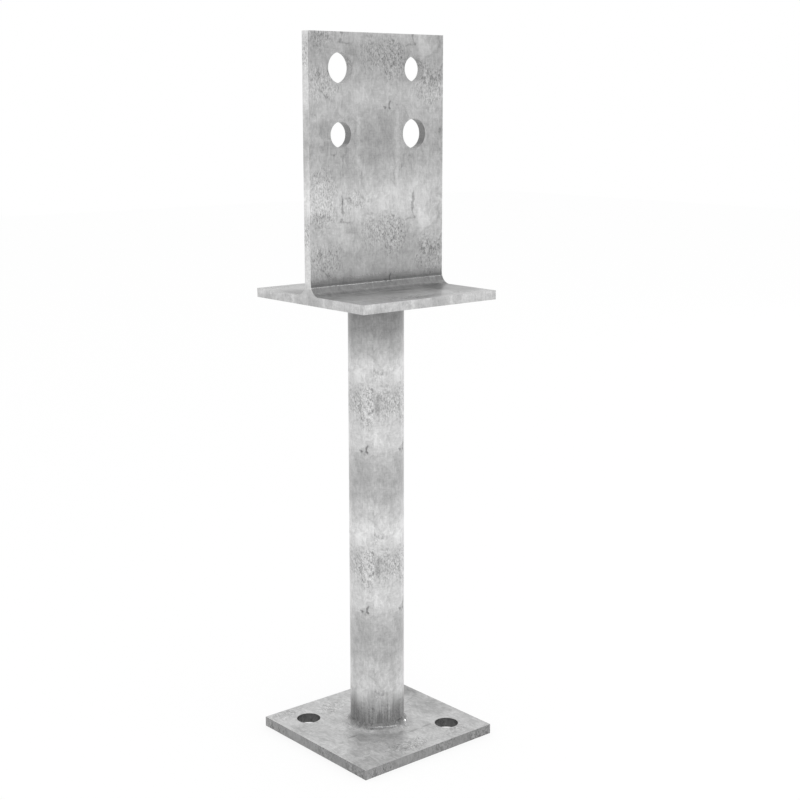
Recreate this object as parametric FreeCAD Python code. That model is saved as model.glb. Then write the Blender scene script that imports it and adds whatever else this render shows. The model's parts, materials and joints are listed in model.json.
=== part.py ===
import FreeCAD, Part

import math
import os

from FreeCAD import Vector

# Bolt-down post base of welded, hot-dip galvanised steel: a square foot plate,
# an upright round tube, and a length of T section on top. The T's flange is the
# seat under the timber, and its web is a blade that stands in a slot sawn up
# the middle of the post and is bolted through it.
#
# Frame, in millimetres: the origin is the middle of the foot plate's underside,
# +Z is up, X runs along the blade and Y through its thickness.

# Foot plate, bolted to the concrete at two opposite corners
foot_width = 75.0
foot_depth = 75.0
foot_thickness = 4.5
anchor_hole_diameter = 11.0
anchor_hole_inset = 14.5      # hole centre to each of the two sides of its corner
drain_hole_ledge = 2.0        # plate left showing inside the tube, all round the drain hole

# Upright tube, square-cut at both ends
tube_diameter = 25.0
tube_wall = 2.5
tube_length = 200.0

# T section, cut to length along X
section_length = 75.0
seat_depth = 75.0
seat_thickness = 4.0
blade_height = 110.0          # above the top of the seat
blade_thickness = 4.0
root_radius = 5.25            # rolled radius between blade and seat, on both sides

# Bolt holes through the blade, in two columns and two rows
small_hole_diameter = 11.0
large_hole_diameter = 13.0
column_inset = 17.0           # hole centre to the blade's end
top_row_inset = 14.75         # hole centre to the blade's top
row_spacing = 27.75

# Fillet weld run right round each end of the tube
weld_leg = 4.0
weld_toe_angle = 6.0          # degrees between the weld's face and the steel it runs out on

# How far a cutting tool reaches past the face that it starts from
cut_overrun = 1.0

tube_bottom = foot_thickness
tube_top = tube_bottom + tube_length
seat_top = tube_top + seat_thickness
blade_top = seat_top + blade_height


def outline_face(edges):
    """Flat face inside a closed chain of edges."""
    return Part.Face(Part.Wire(edges))


def straight(start, end):
    return Part.LineSegment(start, end).toShape()


def arc(start, middle, end):
    return Part.Arc(start, middle, end).toShape()


def hole_along_z(x, y, diameter):
    """Cutter for a hole right through the foot plate."""
    start = Vector(x, y, -cut_overrun)
    return Part.makeCylinder(diameter / 2, foot_thickness + 2 * cut_overrun, start)


def hole_along_y(x, z, diameter):
    """Cutter for a bolt hole right through the blade."""
    start = Vector(x, -blade_thickness / 2 - cut_overrun, z)
    depth = blade_thickness + 2 * cut_overrun
    return Part.makeCylinder(diameter / 2, depth, start, Vector(0, 1, 0))


def foot_plate():
    """Square plate with an anchor hole in two opposite corners. The hole under
    the tube lets air in and molten zinc out when the weldment is dipped."""
    corner = Vector(-foot_width / 2, -foot_depth / 2, 0)
    plate = Part.makeBox(foot_width, foot_depth, foot_thickness, corner)

    anchor_x = foot_width / 2 - anchor_hole_inset
    anchor_y = foot_depth / 2 - anchor_hole_inset
    drain_diameter = tube_diameter - 2 * tube_wall - 2 * drain_hole_ledge
    return plate.cut([
        hole_along_z(-anchor_x, anchor_y, anchor_hole_diameter),
        hole_along_z(anchor_x, -anchor_y, anchor_hole_diameter),
        hole_along_z(0, 0, drain_diameter),
    ])


def stand_tube():
    """Round tube, standing square on the foot plate and butting under the seat."""
    start = Vector(0, 0, tube_bottom)
    outside = Part.makeCylinder(tube_diameter / 2, tube_length, start)
    bore = Part.makeCylinder(tube_diameter / 2 - tube_wall, tube_length, start)
    return outside.cut(bore)


def section_outline(x):
    """Outline of the T section in the plane at x, with its two root radii."""
    seat_edge = seat_depth / 2
    blade_face = blade_thickness / 2
    root_edge = blade_face + root_radius
    root_top = seat_top + root_radius
    # The middle of a quarter round lies this far out from both faces that it joins.
    middle_out = root_radius * (1 - math.sqrt(0.5))

    def root(side):
        """Foot, middle and top of the root radius on one side of the blade."""
        return (
            Vector(x, side * root_edge, seat_top),
            Vector(x, side * (blade_face + middle_out), seat_top + middle_out),
            Vector(x, side * blade_face, root_top),
        )

    front_foot, front_middle, front_top = root(-1)
    back_foot, back_middle, back_top = root(1)
    under_front = Vector(x, -seat_edge, tube_top)
    under_back = Vector(x, seat_edge, tube_top)
    edge_front = Vector(x, -seat_edge, seat_top)
    edge_back = Vector(x, seat_edge, seat_top)
    top_front = Vector(x, -blade_face, blade_top)
    top_back = Vector(x, blade_face, blade_top)
    return [
        straight(under_front, under_back),
        straight(under_back, edge_back),
        straight(edge_back, back_foot),
        arc(back_foot, back_middle, back_top),
        straight(back_top, top_back),
        straight(top_back, top_front),
        straight(top_front, front_top),
        arc(front_top, front_middle, front_foot),
        straight(front_foot, edge_front),
        straight(edge_front, under_front),
    ]


def tee_head():
    """Seat and blade as one rolled T section, drilled for the post's bolts. The
    large and the small holes alternate, so each size lies on a diagonal."""
    outline = outline_face(section_outline(-section_length / 2))
    section = outline.extrude(Vector(section_length, 0, 0))

    column = section_length / 2 - column_inset
    upper_row = blade_top - top_row_inset
    lower_row = upper_row - row_spacing
    return section.cut([
        hole_along_y(-column, upper_row, large_hole_diameter),
        hole_along_y(column, lower_row, large_hole_diameter),
        hole_along_y(column, upper_row, small_hole_diameter),
        hole_along_y(-column, lower_row, small_hole_diameter),
    ])


def fillet_weld(plate_face, away):
    """Ring of weld between the tube and a plate whose face lies at plate_face.
    away is 1 where the tube rises from the plate and -1 where it hangs below.
    The weld's face is an arc, hollowed towards the corner until it runs out on
    tube and plate at the toe angle."""
    tube_face = tube_diameter / 2
    half_chord = weld_leg * math.sqrt(0.5)
    half_turn = math.radians(45 - weld_toe_angle)
    hollow = half_chord * math.tan(half_turn / 2)
    # The chord's middle lies half a leg out from each face of the corner.
    middle_out = weld_leg / 2 - hollow * math.sqrt(0.5)

    corner = Vector(tube_face, 0, plate_face)
    plate_toe = Vector(tube_face + weld_leg, 0, plate_face)
    middle = Vector(tube_face + middle_out, 0, plate_face + away * middle_out)
    tube_toe = Vector(tube_face, 0, plate_face + away * weld_leg)
    profile = outline_face([
        straight(corner, plate_toe),
        arc(plate_toe, middle, tube_toe),
        straight(tube_toe, corner),
    ])
    return profile.revolve(Vector(0, 0, 0), Vector(0, 0, 1), 360)


nodes = {
    "foot_plate": foot_plate(),
    "stand_tube": stand_tube(),
    "tee_head": tee_head(),
    "foot_weld": fillet_weld(tube_bottom, 1),
    "seat_weld": fillet_weld(tube_top, -1),
}

os.makedirs("parts", exist_ok=True)
for name, shape in nodes.items():
    shape.exportStep(f"parts/{name}.step")
    print(f"{name}: {shape.Volume:.0f} mm3, valid {shape.isValid()}, solids {len(shape.Solids)}")
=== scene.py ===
import json
import math

import bpy
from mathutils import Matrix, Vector


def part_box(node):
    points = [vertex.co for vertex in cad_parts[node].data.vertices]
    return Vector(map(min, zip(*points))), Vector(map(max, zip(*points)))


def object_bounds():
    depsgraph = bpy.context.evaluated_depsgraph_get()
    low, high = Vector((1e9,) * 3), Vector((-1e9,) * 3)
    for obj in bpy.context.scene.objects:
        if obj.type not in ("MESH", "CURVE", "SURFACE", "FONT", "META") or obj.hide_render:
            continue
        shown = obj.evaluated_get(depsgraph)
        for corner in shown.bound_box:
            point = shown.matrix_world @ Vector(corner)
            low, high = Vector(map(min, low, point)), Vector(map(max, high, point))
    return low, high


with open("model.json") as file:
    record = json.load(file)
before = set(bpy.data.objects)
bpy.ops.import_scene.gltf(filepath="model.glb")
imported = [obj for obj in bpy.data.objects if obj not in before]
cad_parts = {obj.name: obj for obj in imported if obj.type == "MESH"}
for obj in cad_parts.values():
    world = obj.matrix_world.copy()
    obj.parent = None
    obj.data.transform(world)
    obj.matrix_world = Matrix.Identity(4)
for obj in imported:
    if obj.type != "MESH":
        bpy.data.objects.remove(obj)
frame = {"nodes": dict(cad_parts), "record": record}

# Looks of the timber post base: hot-dip galvanised steel, the same cloudy zinc
# on every piece, with cut edges, rolled faces and the welds each a little
# different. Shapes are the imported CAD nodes, as they are. The zinc is laid out in
# millimetres, and the camera, the lamps and the floor in metres.

MM = 0.001

# The zinc's pattern repeats along every piece at this pitch, in millimetres.
TILE = 75.0

loaded_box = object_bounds()


# ---------------------------------------------------------------- node helpers

class Graph:
    """Adds nodes to one node tree. A value is a number or another node's socket."""

    def __init__(self, tree):
        self.tree = tree

    def node(self, kind, **settings):
        made = self.tree.nodes.new(kind)
        for name, value in settings.items():
            setattr(made, name, value)
        return made

    def feed(self, value, socket):
        """Links a socket to another node's, or sets it to a number."""
        if isinstance(value, bpy.types.NodeSocket):
            self.tree.links.new(value, socket)
        else:
            socket.default_value = value

    def math(self, operation, *values):
        made = self.node("ShaderNodeMath", operation=operation)
        for value, socket in zip(values, made.inputs):
            self.feed(value, socket)
        return made.outputs[0]

    def total(self, first, *others):
        for other in others:
            first = self.math("ADD", first, other)
        return first

    def product(self, first, *others):
        for other in others:
            first = self.math("MULTIPLY", first, other)
        return first

    def centred(self, noise):
        """Noise about 0 instead of about a half."""
        return self.math("SUBTRACT", noise, 0.5)

    def choose(self, switch, when_zero, when_one):
        """Blend of two values, from the first at 0 to the second at 1."""
        made = self.node("ShaderNodeMix", data_type="FLOAT")
        self.feed(switch, made.inputs["Factor"])
        self.feed(when_zero, made.inputs["A"])
        self.feed(when_one, made.inputs["B"])
        return made.outputs[0]

    def vector(self, x, y, z):
        made = self.node("ShaderNodeCombineXYZ")
        for value, socket in zip((x, y, z), made.inputs):
            self.feed(value, socket)
        return made.outputs[0]

    def parts(self, vector):
        """The x, y and z of a vector."""
        made = self.node("ShaderNodeSeparateXYZ")
        self.feed(vector, made.inputs[0])
        return made.outputs[0], made.outputs[1], made.outputs[2]

    def stretch(self, vector, x, y, z):
        made = self.node("ShaderNodeVectorMath", operation="MULTIPLY")
        self.feed(vector, made.inputs[0])
        made.inputs[1].default_value = (x, y, z)
        return made.outputs[0]

    def place(self):
        """The x, y and z of the shaded point in the CAD frame, in millimetres."""
        place = self.node("ShaderNodeTexCoord").outputs["Object"]
        return self.parts(self.stretch(place, 1 / MM, 1 / MM, 1 / MM))

    def normal(self):
        """The x, y and z of the direction that the face looks in."""
        return self.parts(self.node("ShaderNodeTexCoord").outputs["Normal"])

    def noise(self, place, detail=2.0, roughness=0.5, distortion=0.0):
        """Noise from about 0 to 1, one bump to each unit of the place."""
        made = self.node("ShaderNodeTexNoise")
        self.feed(place, made.inputs["Vector"])
        made.inputs["Scale"].default_value = 1.0
        made.inputs["Detail"].default_value = detail
        made.inputs["Roughness"].default_value = roughness
        made.inputs["Distortion"].default_value = distortion
        return made.outputs["Fac"]

    def step(self, value, start, end, at_start=0.0, at_end=1.0):
        """Level that goes smoothly from at_start to at_end as value goes from
        start to end, and stays put outside them. start may be above end."""
        made = self.node("ShaderNodeMapRange", interpolation_type="SMOOTHSTEP")
        for number, socket in zip((value, start, end, at_start, at_end), made.inputs):
            self.feed(number, socket)
        return made.outputs[0]

    def curve(self, value, points):
        """Level at value, read off a smooth line through (place, level) points."""
        low, high = points[0][0], points[-1][0]
        share = self.node("ShaderNodeMapRange")
        for number, socket in zip((value, low, high, 0.0, 1.0), share.inputs):
            self.feed(number, socket)
        made = self.node("ShaderNodeFloatCurve")
        self.feed(share.outputs[0], made.inputs["Value"])
        line = made.mapping.curves[0].points
        while len(line) < len(points):
            line.new(0.5, 0.5)
        for point, (place, level) in zip(line, points):
            point.location = ((place - low) / (high - low), level)
        made.mapping.update()
        return made.outputs[0]


def new_group(name, inputs, outputs):
    """Empty node group, whose sockets with those names are all plain numbers."""
    tree = bpy.data.node_groups.new(name, "ShaderNodeTree")
    for socket_name in inputs:
        tree.interface.new_socket(socket_name, in_out="INPUT", socket_type="NodeSocketFloat")
    for socket_name in outputs:
        tree.interface.new_socket(socket_name, in_out="OUTPUT", socket_type="NodeSocketFloat")
    graph = Graph(tree)
    return graph, graph.node("NodeGroupInput"), graph.node("NodeGroupOutput")


def use_group(graph, tree, **values):
    made = graph.node("ShaderNodeGroup", node_tree=tree)
    for name, value in values.items():
        graph.feed(value, made.inputs[name])
    return made.outputs


# ---------------------------------------------------------------- zinc pattern

# A patch of the pattern starts to fade at the first share of its radius from its
# centre, and is gone at the second.
PATCH_CORE = 0.55
PATCH_RIM = 1.25


def unrolled_place():
    """Group that lays every face out flat: u runs across it and v along it, in
    millimetres, seen along whichever axis the face turns to most. flat is 1 on
    level faces and 0 on upright ones."""
    graph, _, out = new_group("unrolled place", [], ["u", "v", "flat"])
    x, y, z = graph.place()
    normal_x, normal_y, normal_z = graph.normal()
    turned_x = graph.math("ABSOLUTE", normal_x)
    turned_y = graph.math("ABSOLUTE", normal_y)
    turned_z = graph.math("ABSOLUTE", normal_z)
    side = graph.math("GREATER_THAN", turned_x, turned_y)
    flat = graph.math("GREATER_THAN", turned_z, math.sqrt(0.5))
    side_u = graph.product(y, graph.math("SIGN", normal_x))
    front_u = graph.product(x, graph.math("SIGN", normal_y), -1.0)
    upright_u = graph.choose(side, front_u, side_u)
    graph.feed(graph.choose(flat, upright_u, x), out.inputs["u"])
    graph.feed(graph.choose(flat, z, y), out.inputs["v"])
    graph.feed(flat, out.inputs["flat"])
    return graph.tree


def soft_patch():
    """Group that gives 1 inside an ellipse, 0 outside and a soft border. The
    patch comes again at each pitch of the pattern along v."""
    sockets = ["u", "v", "centre u", "centre v", "radius u", "radius v"]
    graph, given, out = new_group("soft patch", sockets, ["mask"])
    u, v, centre_u, centre_v, radius_u, radius_v = (given.outputs[name] for name in sockets)
    across = graph.math("DIVIDE", graph.math("SUBTRACT", u, centre_u), radius_u)
    nearest = graph.math("WRAP", graph.math("SUBTRACT", v, centre_v), TILE / 2, -TILE / 2)
    along = graph.math("DIVIDE", nearest, radius_v)
    across_squared = graph.math("MULTIPLY", across, across)
    away = graph.math("SQRT", graph.math("MULTIPLY_ADD", along, along, across_squared))
    graph.feed(graph.step(away, PATCH_RIM, PATCH_CORE), out.inputs["mask"])
    return graph.tree


PLACE_GROUP = unrolled_place()
PATCH_GROUP = soft_patch()

# Where the zinc froze in clouds: centre u, centre v, radius u, radius v, and how
# much lighter (+) or darker (-) the patch is. Millimetres, v within one pitch.
CLOUDS = [
    (-31.0, 14.0, 8.0, 7.0, -0.12),
    (17.0, 4.0, 6.0, 7.0, -0.10),
    (-17.0, 71.0, 7.0, 6.0, -0.09),
    (33.0, 18.0, 5.0, 11.0, -0.12),
    (-25.0, 59.0, 7.0, 5.0, 0.08),
    (26.5, 13.0, 5.0, 4.0, 0.16),
    (4.0, 25.0, 9.0, 6.0, 0.10),
    (-9.0, 71.0, 2.5, 8.0, 0.10),
]

# Where dross left clusters of fine specks: centre, radii and how thick they lie.
SPECK_CLUSTERS = [
    (-31.0, 24.0, 8.0, 13.0, 1.0),
    (-30.0, -2.0, 9.0, 8.0, 1.0),
    (8.0, 8.0, 8.0, 10.0, 1.0),
    (-4.0, 9.0, 6.0, 8.0, 0.6),
    (30.0, -3.0, 9.0, 10.0, 1.0),
    (-13.0, 23.0, 8.0, 4.0, 0.7),
]

# The same on level faces, in x and y.
LEVEL_CLUSTERS = [
    (-8.0, 26.0, 7.0, 6.0, 0.9),
    (-29.0, 33.0, 7.0, 5.0, 0.7),
    (-7.0, -30.0, 13.0, 5.0, 1.0),
    (22.0, -31.0, 7.0, 4.0, 0.6),
]

# Narrow marks in the zinc, in rows like those of the clouds: curled dross lines,
# round spots and dots, and the pale edges of the cloud in the middle.
MARKS = [
    (-20.0, 21.0, 0.7, 5.5, -0.46),
    (20.0, 21.0, 0.7, 5.5, -0.47),
    (-20.5, 14.6, 0.9, 0.9, -0.42),
    (20.5, 14.6, 0.9, 0.9, -0.36),
    (-17.6, 13.8, 2.8, 0.5, -0.28),
    (17.8, 13.8, 2.6, 0.5, -0.24),
    (6.7, 63.3, 0.6, 2.6, -0.52),
    (3.4, 62.3, 0.9, 0.9, -0.42),
    (-15.0, 10.0, 3.8, 1.3, -0.14),
    (-16.5, 23.0, 1.3, 1.6, -0.24),
    (-4.5, 22.6, 1.7, 1.3, -0.20),
    (0.0, 49.0, 11.0, 14.0, -0.11),
    (-10.9, 46.0, 1.3, 17.0, 0.13),
    (10.9, 46.0, 1.3, 17.0, 0.13),
    (-9.4, 33.0, 0.6, 4.0, -0.16),
    (9.0, 33.0, 0.6, 4.0, -0.16),
    (0.0, 47.5, 1.9, 2.1, -0.09),
    (-17.0, 44.6, 1.6, 1.6, -0.14),
    (17.0, 44.6, 1.6, 1.6, -0.14),
    (-34.0, 59.0, 0.8, 0.8, -0.24),
    (-24.7, 42.5, 0.6, 0.6, -0.24),
    (36.0, 52.0, 0.9, 1.2, -0.24),
    (36.0, 44.0, 0.9, 1.2, -0.20),
]

# Where the fine mottle is calmer: the cloud in the middle of the blade.
CALM_CLOUDS = [
    (0.0, 48.0, 12.0, 13.0, -0.5),
]

# Clouds on the tube alone, in rows like those above, repeated along it as well.
TUBE_CLOUDS = [
    (-7.3, 9.0, 1.3, 5.0, -0.22),
    (-6.3, 23.3, 1.5, 1.8, -0.18),
    (-7.6, 17.5, 1.3, 3.5, 0.10),
    (6.4, 9.0, 2.6, 9.0, 0.14),
    (3.0, 22.5, 3.5, 2.2, 0.10),
    (5.6, 62.6, 2.4, 2.4, -0.10),
    (3.4, 65.0, 1.6, 1.6, 0.10),
]

# Clouds and marks on the foot plate alone: centre x and y, radii and level.
PLATE_CLOUDS = [
    (-21.0, -24.0, 11.0, 9.0, 0.16),
    (30.0, -4.0, 9.0, 12.0, -0.22),
    (30.0, 21.0, 10.0, 9.0, -0.12),
    (-31.0, 2.0, 6.0, 6.0, -0.08),
    # Painted shade: the next row darkens the plate just in front of the weld's toe.
    (-3.0, -17.4, 5.0, 2.2, -0.18),
    (3.5, -25.0, 4.5, 4.0, 0.18),
    (-29.0, -10.0, 9.0, 0.6, 0.10),
    (27.0, 12.0, 10.0, 0.6, 0.08),
    (5.5, -19.5, 3.0, 0.7, -0.28),
    (14.0, -19.3, 3.2, 0.8, -0.34),
    (-20.0, -6.6, 3.4, 0.8, -0.30),
    (-15.0, 31.0, 11.0, 7.0, 0.10),
    (31.0, 19.0, 12.0, 13.0, -0.24),
    (-24.0, -28.0, 8.0, 7.0, 0.07),
]

# Clouds on the seat alone, in rows like the foot plate's.
SEAT_CLOUDS = [
    (6.0, -9.0, 9.0, 2.6, -0.24),
    (-2.0, -15.0, 6.0, 4.0, -0.16),
    (-33.0, -15.0, 3.5, 4.0, -0.18),
    (-31.0, -27.0, 7.0, 5.0, 0.08),
    (4.0, -26.0, 7.0, 4.0, 0.16),
    (-1.0, -32.5, 9.0, 2.2, -0.20),
    (15.0, -17.0, 3.0, 2.0, -0.12),
    (-16.0, -12.0, 6.0, 2.0, -0.10),
    (33.0, -15.0, 16.0, 14.0, -0.38),
    (27.0, -28.0, 9.0, 6.0, -0.22),
    (-33.5, 12.0, 10.0, 15.0, -0.32),
    (23.0, -18.0, 6.0, 5.0, -0.14),
    (11.0, -31.0, 6.0, 4.0, -0.18),
]

# Light and dark bands along the pattern: place in millimetres, and level about 0.5.
BANDS = [
    (0.0, 0.51), (10.0, 0.475), (25.0, 0.59), (36.0, 0.465), (48.0, 0.415),
    (60.0, 0.45), (70.0, 0.575), (TILE, 0.51),
]

# How far each layer of the zinc changes the tone. On level faces the bands and
# clouds are weaker, and the mottle is that many times stronger.
BAND_TONE = {"upright": 1.6, "level": 0.45}
CLOUD_TONE = {"upright": 0.62, "level": 0.40}
MOTTLE_TONE = 1.20
MOTTLE_ON_LEVEL = 1.25
STREAK_TONE = 0.28
GRAIN_TONE = 0.24
DARK_SPECK_TONE = -0.43
LIGHT_SPECK_TONE = 0.22
STRAY_SPECK_TONE = -0.12

# How thick specks lie outside their clusters, from 0 to 1.
SPECKS_ELSEWHERE = 0.12

# How far the layers change the roughness, and how high they stand in millimetres.
MOTTLE_ROUGH = 0.14
SPECK_ROUGH = 0.10
CLOUD_HEIGHT = 0.10
MOTTLE_HEIGHT = 0.010
GRAIN_HEIGHT = 0.004
SPECK_HEIGHT = -0.012
MARK_HEIGHT = -0.06


def add_patches(graph, u, v, patches):
    """Sum of soft patches, each weighted by the last number of its row."""
    levels = []
    for centre_u, centre_v, radius_u, radius_v, level in patches:
        mask = use_group(graph, PATCH_GROUP, **{
            "u": u, "v": v, "centre u": centre_u, "centre v": centre_v,
            "radius u": radius_u, "radius v": radius_v,
        })["mask"]
        levels.append(graph.math("MULTIPLY", mask, level))
    return graph.total(*levels)


def by_face(graph, flat, upright, level):
    """One value on upright faces and another on level ones."""
    return graph.choose(flat, upright, level)


def closed_place(graph, u, v):
    """Place for noise that closes on itself: one pitch of v goes round a circle."""
    ring = TILE / (2 * math.pi)
    angle = graph.math("DIVIDE", v, ring)
    return graph.vector(
        u,
        graph.product(graph.math("COSINE", angle), ring),
        graph.product(graph.math("SINE", angle), ring),
    )


def layer(graph, place, across, along, **settings):
    """Noise over a closed place, with that many bumps to a millimetre across a
    face and along it."""
    return graph.noise(graph.stretch(place, across, along, along), **settings)


def swayed(graph, place, value, reach, across, along):
    """A coordinate pushed to and fro by noise, by about a quarter of the reach."""
    push = graph.centred(layer(graph, place, across, along))
    return graph.math("MULTIPLY_ADD", push, reach, value)


def band_tone(graph, v, flat):
    """Light and dark bands that come again at each pitch, weaker on level faces."""
    bands = graph.curve(graph.math("FLOORED_MODULO", v, TILE), BANDS)
    return graph.product(graph.centred(bands), by_face(graph, flat, **BAND_TONE))


def mottle_tone(graph, mottle, u, v, flat):
    """Fine mottle, calmer in the middle of the blade and stronger on level faces."""
    calm = graph.math("ADD", add_patches(graph, u, v, CALM_CLOUDS), 1.0)
    strength = by_face(graph, flat, upright=calm, level=MOTTLE_ON_LEVEL)
    return graph.product(graph.centred(mottle), strength, MOTTLE_TONE)


def crossed_grain(graph, place):
    """Fine grain that runs both ways, about 0."""
    drawn_across = graph.centred(layer(graph, place, across=0.30, along=2.4))
    drawn_along = graph.centred(layer(graph, place, across=2.4, along=0.30))
    return graph.total(drawn_across, drawn_along)


def curled_marks(graph, place, u, v, flat):
    """Narrow marks on upright faces, bent by noise so that none is a plain shape."""
    curled_u = swayed(graph, place, u, reach=3.2, across=0.45, along=0.35)
    curled_v = swayed(graph, place, v, reach=3.0, across=0.40, along=0.50)
    marks = add_patches(graph, curled_u, curled_v, MARKS)
    return by_face(graph, flat, upright=marks, level=0.0)


def speck_cover(graph, u, v, flat):
    """How thick dross specks lie, from 0 to 1."""
    upright = add_patches(graph, u, v, SPECK_CLUSTERS)
    level = add_patches(graph, u, v, LEVEL_CLUSTERS)
    clusters = by_face(graph, flat, upright, level)
    return graph.math("MINIMUM", graph.math("ADD", clusters, SPECKS_ELSEWHERE), 1.0)


def speck_tone(graph, place, u, v, flat):
    """Dross specks: broken dark loops and upright strokes in the clusters, each
    stroke with a light edge, and a few stray dots between the clusters. Gives
    their tone, and where the dark ones are."""
    cover = speck_cover(graph, u, v, flat)
    crumbs = layer(graph, place, across=1.3, along=0.80, detail=3.0, roughness=0.6)
    breaks = layer(graph, place, across=0.9, along=0.7, detail=1.0)
    strokes = layer(graph, place, across=1.9, along=0.80, detail=3.0, roughness=0.7)
    stray = layer(graph, place, across=0.8, along=0.8, detail=1.0)
    # Loops follow the lines where the crumbs pass a half. Strokes and dots are the
    # tops of their noise, and the light edges lie just below its middle.
    from_loop = graph.math("ABSOLUTE", graph.centred(crumbs))
    loops = graph.product(graph.step(from_loop, 0.05, 0.0), graph.step(breaks, 0.44, 0.60))
    dark = graph.math("MAXIMUM", loops, graph.step(strokes, 0.52, 0.60))
    light = graph.step(strokes, 0.48, 0.40)
    tone = graph.total(
        graph.product(dark, cover, DARK_SPECK_TONE),
        graph.product(light, cover, LIGHT_SPECK_TONE),
        graph.product(graph.step(stray, 0.70, 0.78), STRAY_SPECK_TONE),
    )
    return tone, graph.product(dark, cover)


def zinc_pattern():
    """Group with the zinc's pattern: tone is 1 on average and darker below it,
    rough is added to a finish's roughness and height is in millimetres."""
    graph, _, out = new_group("zinc pattern", [], ["tone", "rough", "height"])
    unrolled = use_group(graph, PLACE_GROUP)
    u, v, flat = unrolled["u"], unrolled["v"], unrolled["flat"]
    place = closed_place(graph, u, v)
    loose_u = swayed(graph, place, u, reach=9.0, across=0.3, along=0.3)
    loose_v = swayed(graph, place, v, reach=9.0, across=0.22, along=0.22)

    clouds = layer(
        graph, place, across=0.07, along=0.06, detail=4.0, roughness=0.6, distortion=1.0,
    )
    mottle = layer(
        graph, place, across=0.34, along=0.22, detail=7.0, roughness=0.74, distortion=1.2,
    )
    streaks = layer(graph, place, across=1.1, along=0.10, detail=4.0, roughness=0.6)
    grain = crossed_grain(graph, place)
    specks, dark_specks = speck_tone(graph, place, loose_u, loose_v, flat)
    marks = curled_marks(graph, place, u, v, flat)

    tone = graph.total(
        band_tone(graph, v, flat),
        graph.product(graph.centred(clouds), by_face(graph, flat, **CLOUD_TONE)),
        mottle_tone(graph, mottle, u, v, flat),
        graph.product(graph.centred(streaks), STREAK_TONE),
        graph.product(grain, GRAIN_TONE),
        add_patches(graph, loose_u, loose_v, CLOUDS),
        specks, marks, 1.0,
    )
    rough = graph.total(
        graph.product(graph.centred(mottle), MOTTLE_ROUGH),
        graph.product(dark_specks, SPECK_ROUGH),
    )
    height = graph.total(
        graph.product(clouds, CLOUD_HEIGHT),
        graph.product(mottle, MOTTLE_HEIGHT),
        graph.product(grain, GRAIN_HEIGHT),
        graph.product(dark_specks, SPECK_HEIGHT),
        graph.product(marks, MARK_HEIGHT),
    )
    graph.feed(tone, out.inputs["tone"])
    graph.feed(rough, out.inputs["rough"])
    graph.feed(height, out.inputs["height"])
    return graph.tree


PATTERN_GROUP = zinc_pattern()


# ------------------------------------------------------------------- materials

# A face is level where the upright part of its normal is more than this, and on a
# piece's outer edge where it lies within this many millimetres of the piece's box.
LEVEL_NORMAL = 0.9
EDGE_MARGIN = 0.1

# Darkest and lightest grey that a finish may have.
DARKEST = 0.02
LIGHTEST = 0.9

BUMP_STRENGTH = 0.5


class Finish:
    """A galvanised material under construction: its graph, its place in
    millimetres, the zinc pattern and the shader that ends it."""

    def __init__(self, name):
        self.material = bpy.data.materials.new(name)
        self.material.use_nodes = True
        tree = self.material.node_tree
        self.graph = Graph(tree)
        self.shader = tree.nodes["Principled BSDF"]
        self.x, self.y, self.z = self.graph.place()
        self.normal_x, self.normal_y, self.normal_z = self.graph.normal()
        unrolled = use_group(self.graph, PLACE_GROUP)
        self.u, self.v = unrolled["u"], unrolled["v"]
        pattern = use_group(self.graph, PATTERN_GROUP)
        self.tone, self.rough, self.height = pattern["tone"], pattern["rough"], pattern["height"]

    def level(self):
        """1 on faces that look up or down."""
        turned = self.graph.math("ABSOLUTE", self.normal_z)
        return self.graph.math("GREATER_THAN", turned, LEVEL_NORMAL)

    def columns(self, across=0.45, along=0.03, detail=4.0, roughness=0.7):
        """Noise in upright columns, for runs of zinc on an upright face and for the ragged edge
        of painted shade, with that many bumps to a millimetre across and along them."""
        graph = self.graph
        place = graph.vector(
            graph.product(self.x, across),
            graph.product(self.y, across),
            graph.product(self.z, along),
        )
        return graph.noise(place, detail, roughness)

    def outside(self, high):
        """1 on the outer edges and ends of a piece centred on the tube, whose box
        has that highest corner."""
        graph = self.graph
        end = high.x / MM - EDGE_MARGIN
        side = high.y / MM - EDGE_MARGIN
        at_end = graph.math("GREATER_THAN", graph.math("ABSOLUTE", self.x), end)
        at_side = graph.math("GREATER_THAN", graph.math("ABSOLUTE", self.y), side)
        return graph.math("MAXIMUM", at_end, at_side)

    def complete(self, brightness, roughness, metallic):
        """Ends the material with a grey of that brightness times the tone."""
        graph = self.graph
        grey = graph.math("MULTIPLY", self.tone, brightness)
        kept = graph.math("MINIMUM", graph.math("MAXIMUM", grey, DARKEST), LIGHTEST)
        graph.feed(graph.vector(kept, kept, kept), self.shader.inputs["Base Color"])
        graph.feed(graph.math("ADD", self.rough, roughness), self.shader.inputs["Roughness"])
        self.shader.inputs["Metallic"].default_value = metallic
        bump = graph.node("ShaderNodeBump")
        bump.inputs["Strength"].default_value = BUMP_STRENGTH
        bump.inputs["Distance"].default_value = MM
        graph.feed(self.height, bump.inputs["Height"])
        graph.feed(bump.outputs["Normal"], self.shader.inputs["Normal"])
        return self.material


# Painted shade on the tube, darker towards its foot and under the seat: millimetres from its
# bottom or top end, and tone.
TUBE_FOOT_SHADE = [
    (0.0, 0.42), (6.0, 0.50), (12.0, 0.66), (20.0, 0.82), (30.0, 0.95), (40.0, 1.0),
]
TUBE_SEAT_SHADE = [
    (0.0, 0.50), (9.0, 0.62), (15.0, 0.70), (22.0, 0.81), (30.0, 0.94), (40.0, 1.0),
]

# Heights above the tube's bottom end, in millimetres, between which the edge of its painted
# shade grows ragged, the pattern comes up from its calmest, and the runs of zinc die out.
RAGGED_ZONE = (0.0, 8.0)
CALM_ZONE = (2.0, 22.0)
RUN_ZONE = (8.0, 22.0)

# Reach of the ragged edge in millimetres, the pattern's share where it is calmest,
# and how strongly the runs show.
RAGGED_REACH = 26.0
CALMEST = 0.5
RUN_TONE = 1.3


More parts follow.
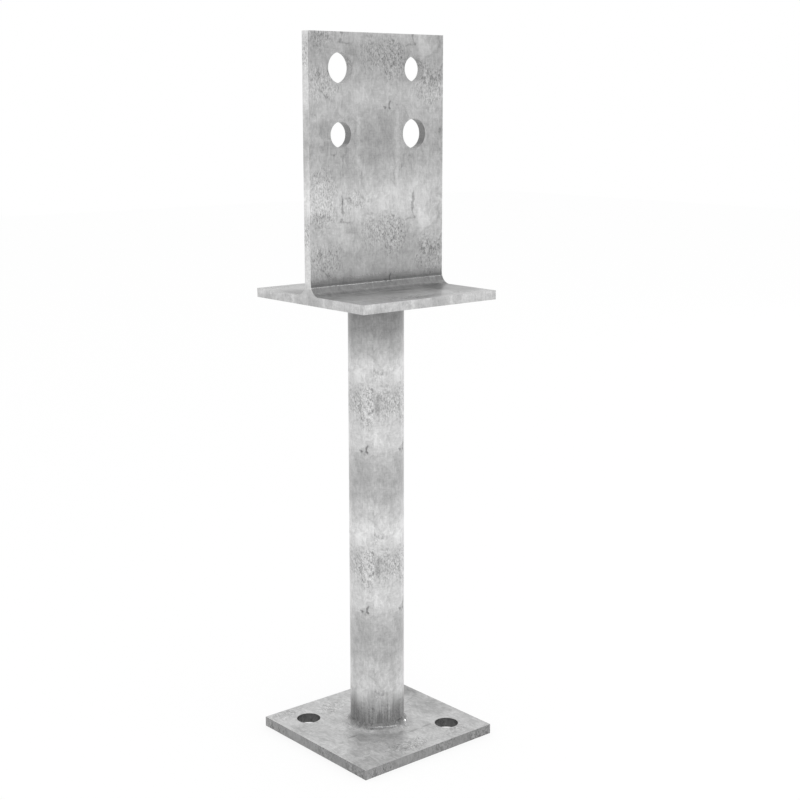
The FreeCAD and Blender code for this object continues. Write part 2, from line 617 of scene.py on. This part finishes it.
def galvanised_tube():
    """Drawn tube: the lightest zinc, with painted shade that darkens it towards both ends,
    beside the foot and under the seat. Just above the foot its pattern is calmer, and zinc ran
    down it in columns."""
    low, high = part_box("stand_tube")
    finish = Finish("galvanised_tube")
    graph = finish.graph
    above_foot = graph.math("SUBTRACT", finish.z, low.z / MM)
    below_seat = graph.math("SUBTRACT", high.z / MM, finish.z)
    ragged = graph.product(graph.centred(finish.columns()), RAGGED_REACH)
    raggedness = graph.step(above_foot, *RAGGED_ZONE)
    off_foot = graph.math("MULTIPLY_ADD", raggedness, ragged, above_foot)

    calm = graph.step(off_foot, *CALM_ZONE, CALMEST, 1.0)
    pattern = graph.math("MULTIPLY_ADD", graph.math("SUBTRACT", finish.tone, 1.0), calm, 1.0)
    clouds = add_patches(graph, finish.u, finish.v, TUBE_CLOUDS)
    runs = graph.centred(finish.columns(across=1.3, along=0.06))
    run_strength = graph.step(off_foot, *RUN_ZONE, RUN_TONE, 0.0)
    # Painted shade: the tube darkens towards the foot and under the seat.
    finish.tone = graph.product(
        graph.math("MULTIPLY_ADD", runs, run_strength, graph.math("ADD", pattern, clouds)),
        graph.curve(off_foot, TUBE_FOOT_SHADE),
        graph.curve(below_seat, TUBE_SEAT_SHADE),
    )
    return finish.complete(brightness=0.56, roughness=0.30, metallic=0.65)


# Painted shade on the T section by millimetres above the seat's top: in the root it is darkest
# near the top of the root radius, it is lightest low on the blade, and higher up a painted
# reflection darkens the blade again. Faces that aren't level take a share of it, and level ones
# the seat's painted shade and clouds as well.
SECTION_SHADE = [
    (0.0, 0.72), (0.8, 0.44), (2.4, 0.42), (3.2, 0.42), (4.1, 0.24), (4.9, 0.34), (6.2, 0.48),
    (9.0, 0.66), (16.0, 0.74), (25.0, 0.92), (34.0, 0.96),
    (45.0, 0.86), (62.0, 0.82), (80.0, 0.80), (95.0, 0.70), (110.0, 0.74),
]
BLADE_SHARE = 0.90

# Painted shade on the seat, darker towards the blade, between these millimetres out from the
# blade's middle plane.
SEAT_SHADE = (6.0, 26.0)
SEAT_DARK = 0.82
SEAT_LIGHT = 1.08

# In millimetres above the seat's top, where bolt holes may start, and a gap between their two
# rows, in which the painted shade on the walls of the lower row fades out.
HOLES_START = 20.0
ROW_GAP = (75.0, 88.0)
LOWER_HOLE_SHADE = 0.62
HOLE_WALL_NORMAL = 0.5

# Sawn ends and edges change tone from seat to blade, in millimetres above the
# seat's top.
SAWN_CHANGE = (0.0, 8.0)
SAWN_SEAT_TONE = 0.95
SAWN_BLADE_TONE = 1.05

# In millimetres above the seat's top, where the smooth, glossy zinc of the root
# gives way to the blade's, the share of the bump that it has, and how far root and
# seat differ from the blade in roughness.
ROOT_END = (5.0, 8.0)
ROOT_BUMP = 0.2
ROOT_ROUGH = -0.14
SEAT_ROUGH = 0.01


def mount_height(name):
    """Height of one of the record's mounts, in millimetres."""
    places = {mount["name"]: mount["pos_m"] for mount in frame["record"]["mounts"]}
    return places[name][2] / MM


def seat_shade_and_clouds(finish):
    """The seat's painted shade, darker towards the blade, with clouds."""
    graph = finish.graph
    off_blade = graph.math("ABSOLUTE", finish.y)
    clouds = add_patches(graph, finish.x, finish.y, SEAT_CLOUDS)
    shade = graph.step(off_blade, *SEAT_SHADE, SEAT_DARK, SEAT_LIGHT)
    return graph.math("ADD", shade, clouds)


def hole_shade(finish, above_seat):
    """1, but with painted shade on the walls of the lower row of bolt holes."""
    graph = finish.graph
    turned = graph.math("ABSOLUTE", finish.normal_y)
    wall = graph.math("LESS_THAN", turned, HOLE_WALL_NORMAL)
    in_blade = graph.math("GREATER_THAN", above_seat, HOLES_START)
    wall_shade = graph.step(above_seat, *ROW_GAP, LOWER_HOLE_SHADE, 1.0)
    return graph.choose(graph.product(wall, in_blade), 1.0, wall_shade)


def galvanised_section():
    """Rolled T section: duller on the rolled faces, lighter on the sawn ends and edges, and
    smoother and glossier in the root, where the zinc ran together. Painted shade darkens the
    root, and a painted reflection darkens the blade higher up."""
    _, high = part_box("tee_head")
    finish = Finish("galvanised_section")
    graph = finish.graph
    level = finish.level()
    above_seat = graph.math("SUBTRACT", finish.z, mount_height("seat_front"))
    # Painted shade in the root and over the seat, and a painted reflection high on the blade.
    rolled = graph.product(
        graph.curve(above_seat, SECTION_SHADE),
        graph.choose(level, BLADE_SHARE, seat_shade_and_clouds(finish)),
        hole_shade(finish, above_seat),
    )
    sawn = graph.step(above_seat, *SAWN_CHANGE, SAWN_SEAT_TONE, SAWN_BLADE_TONE)
    finish.tone = graph.product(finish.tone, graph.choose(finish.outside(high), rolled, sawn))

    bump = graph.step(above_seat, *ROOT_END, ROOT_BUMP, 1.0)
    rough = graph.step(above_seat, *ROOT_END, ROOT_ROUGH, 0.0)
    finish.height = graph.product(finish.height, graph.choose(level, bump, 1.0))
    finish.rough = graph.math("ADD", finish.rough, graph.choose(level, rough, SEAT_ROUGH))
    return finish.complete(brightness=0.57, roughness=0.30, metallic=0.30)


# Painted shade on the plate's sheared edges, and darker painted shade on the walls of its holes.
PLATE_EDGE_SHADE = 0.51
PLATE_HOLE_SHADE = 0.22

# Painted light: the plate is a little lighter round the weld, offsetting the shade that the weld
# and tube cast there, fading over that many millimetres.
HALO_LIGHT = 1.04
HALO_WIDTH = 5.5


def galvanised_plate():
    """Flat plate: cloudy faces, with painted light beside the weld, and painted shade on the
    sheared edges and, darker, in the holes."""
    _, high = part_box("foot_plate")
    _, weld_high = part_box("foot_weld")
    finish = Finish("galvanised_plate")
    graph = finish.graph
    side_shade = graph.choose(finish.outside(high), PLATE_HOLE_SHADE, PLATE_EDGE_SHADE)
    off_middle = graph.math("SQRT", graph.total(
        graph.product(finish.x, finish.x), graph.product(finish.y, finish.y),
    ))
    weld_toe = weld_high.x / MM
    halo_light = graph.step(off_middle, weld_toe, weld_toe + HALO_WIDTH, HALO_LIGHT, 1.0)
    face_tone = graph.math("ADD", add_patches(graph, finish.x, finish.y, PLATE_CLOUDS), halo_light)
    finish.tone = graph.product(finish.tone, graph.choose(finish.level(), side_shade, face_tone))
    return finish.complete(brightness=0.507, roughness=0.36, metallic=0.5)


# Tone of a weld by millimetres off the plate that it stands on, with painted shade that darkens
# it towards the tube, and how far its bands wander.
WELD_SHADE = [
    (0.0, 0.98), (0.5, 0.84), (1.2, 0.64), (2.0, 0.48), (4.0, 0.46),
]
WELD_RAGGED = 4.0

# Where it runs out on the plate the weld is as matt as the plate.
TOE_ZONE = (0.2, 1.2)
TOE_ROUGH = 0.24

# Height of the bead's ripples in millimetres, and the share of the zinc's bump
# that is left on it.
RIPPLE_HEIGHT = 0.20
WELD_BUMP = 0.5


def galvanised_weld():
    """Weld bead under the zinc, a little uneven. Beside the tube it is glossy and darkened by
    painted shade, like the tube's own painted shade, and it is as light and matt as the plates
    where it meets them."""
    foot_low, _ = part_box("foot_weld")
    _, seat_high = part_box("seat_weld")
    finish = Finish("galvanised_weld")
    graph = finish.graph
    above_foot = graph.math("SUBTRACT", finish.z, foot_low.z / MM)
    below_seat = graph.math("SUBTRACT", seat_high.z / MM, finish.z)
    off_plate = graph.math("MINIMUM", above_foot, below_seat)
    ragged = graph.product(graph.centred(finish.columns()), WELD_RAGGED)
    bead_shade = graph.curve(graph.math("ADD", off_plate, ragged), WELD_SHADE)
    finish.tone = graph.product(finish.tone, bead_shade)
    toe_rough = graph.step(off_plate, *TOE_ZONE, TOE_ROUGH, 0.0)
    finish.rough = graph.math("ADD", finish.rough, toe_rough)
    ripple = finish.columns(across=0.30, along=0.15, detail=2.0, roughness=0.5)
    finish.height = graph.total(
        graph.product(ripple, RIPPLE_HEIGHT),
        graph.product(finish.height, WELD_BUMP),
    )
    return finish.complete(brightness=0.507, roughness=0.12, metallic=0.5)


def dress():
    """Gives each CAD node the finish that the record names for it."""
    finishes = {
        "galvanised_plate": galvanised_plate(),
        "galvanised_tube": galvanised_tube(),
        "galvanised_section": galvanised_section(),
        "galvanised_weld": galvanised_weld(),
    }
    for part in frame["record"]["subparts"]:
        for slot in frame["nodes"][part["node"]].material_slots:
            slot.material = finishes[part["material_slot"]]


# ----------------------------------------------------------------- surroundings

# In front of one corner, a little above the seat, looking down: where the camera
# stands, which way it looks in degrees round from +X and up, and its lens in
# millimetres.
CAMERA_PLACE = (-0.40864, -0.49561, 0.29030)
CAMERA_AZIMUTH = 49.53908
CAMERA_ELEVATION = -11.60622
CAMERA_LENS = 65.6498
CAMERA_SENSOR = 36.0

# Lamps: azimuth and elevation as seen from the part, in degrees, width and height
# in metres, and watts. The first strip makes the bright lines in the root and on
# the foot weld, the second carries the weld's line on to the left, and the low
# lamp makes the glint at its right end.
LAMPS = [
    ("strip_lamp", -84.0, 28.0, 2.6, 0.05, 4.6),
    ("left_strip_lamp", -136.0, 28.0, 0.80, 0.05, 1.6),
    ("low_lamp", 8.0, 2.5, 0.14, 0.14, 0.80),
]
LAMP_DISTANCE = 1.6

FLOOR_HALF = 3.0
# The floor lies this far under the foot, so that the two faces never fight.
FLOOR_DROP = 0.1 * MM
FLOOR_GREY = 0.95
# Share of plain white in what the camera and reflections see of the floor.
FLOOR_WHITE = 0.8


def heading(azimuth, elevation):
    """Unit vector, that many degrees round from +X and up from level."""
    around = math.radians(azimuth)
    up = math.radians(elevation)
    return Vector((
        math.cos(around) * math.cos(up),
        math.sin(around) * math.cos(up),
        math.sin(up),
    ))


def look_along(obj, direction):
    obj.rotation_mode = "QUATERNION"
    obj.rotation_quaternion = direction.to_track_quat("-Z", "Y")


def add_object(name, data):
    obj = bpy.data.objects.new(name, data)
    bpy.context.scene.collection.objects.link(obj)
    return obj


def add_camera():
    lens = bpy.data.cameras.new("camera")
    lens.lens = CAMERA_LENS
    lens.sensor_width = CAMERA_SENSOR
    camera = add_object("camera", lens)
    camera.location = CAMERA_PLACE
    look_along(camera, heading(CAMERA_AZIMUTH, CAMERA_ELEVATION))
    bpy.context.scene.camera = camera


def add_lamp(name, azimuth, elevation, width, height, power):
    """Soft lamp of that width and height, aimed at the middle of the part."""
    direction = heading(azimuth, elevation)
    light = bpy.data.lights.new(name, "AREA")
    light.shape = "RECTANGLE"
    light.size = width
    light.size_y = height
    light.energy = power
    lamp = add_object(name, light)
    lamp.location = Vector((0.0, 0.0, loaded_box[1][2] / 2)) + direction * LAMP_DISTANCE
    look_along(lamp, -direction)


def add_world():
    """Even white studio all round."""
    world = bpy.data.worlds.new("studio")
    bpy.context.scene.world = world
    world.use_nodes = True
    background = world.node_tree.nodes["Background"]
    background.inputs["Color"].default_value = (1.0, 1.0, 1.0, 1.0)
    background.inputs["Strength"].default_value = 1.0


def floor_material():
    """White floor. To the camera and in reflections most of it is plain white,
    and the rest is lit, so that the part's soft shadow stays."""
    material = bpy.data.materials.new("white_floor")
    material.use_nodes = True
    material.node_tree.nodes.clear()
    graph = Graph(material.node_tree)
    lit = graph.node("ShaderNodeBsdfDiffuse")
    lit.inputs["Color"].default_value = (FLOOR_GREY, FLOOR_GREY, FLOOR_GREY, 1.0)
    white = graph.node("ShaderNodeEmission")
    white.inputs["Strength"].default_value = 1.0
    rays = graph.node("ShaderNodeLightPath").outputs
    seen = graph.math("MAXIMUM", rays["Is Camera Ray"], rays["Is Glossy Ray"])
    mix = graph.node("ShaderNodeMixShader")
    graph.feed(graph.math("MULTIPLY", seen, FLOOR_WHITE), mix.inputs["Fac"])
    graph.feed(lit.outputs[0], mix.inputs[1])
    graph.feed(white.outputs[0], mix.inputs[2])
    output = graph.node("ShaderNodeOutputMaterial")
    graph.feed(mix.outputs[0], output.inputs["Surface"])
    return material


def add_floor():
    half, low = FLOOR_HALF, -FLOOR_DROP
    corners = [(-half, -half, low), (half, -half, low), (half, half, low), (-half, half, low)]
    mesh = bpy.data.meshes.new("floor")
    mesh.from_pydata(corners, [], [(0, 1, 2, 3)])
    mesh.materials.append(floor_material())
    floor = add_object("floor", mesh)


dress()
add_camera()
add_world()
add_floor()
for lamp in LAMPS:
    add_lamp(*lamp)
bpy.context.scene.view_settings.view_transform = "Standard"
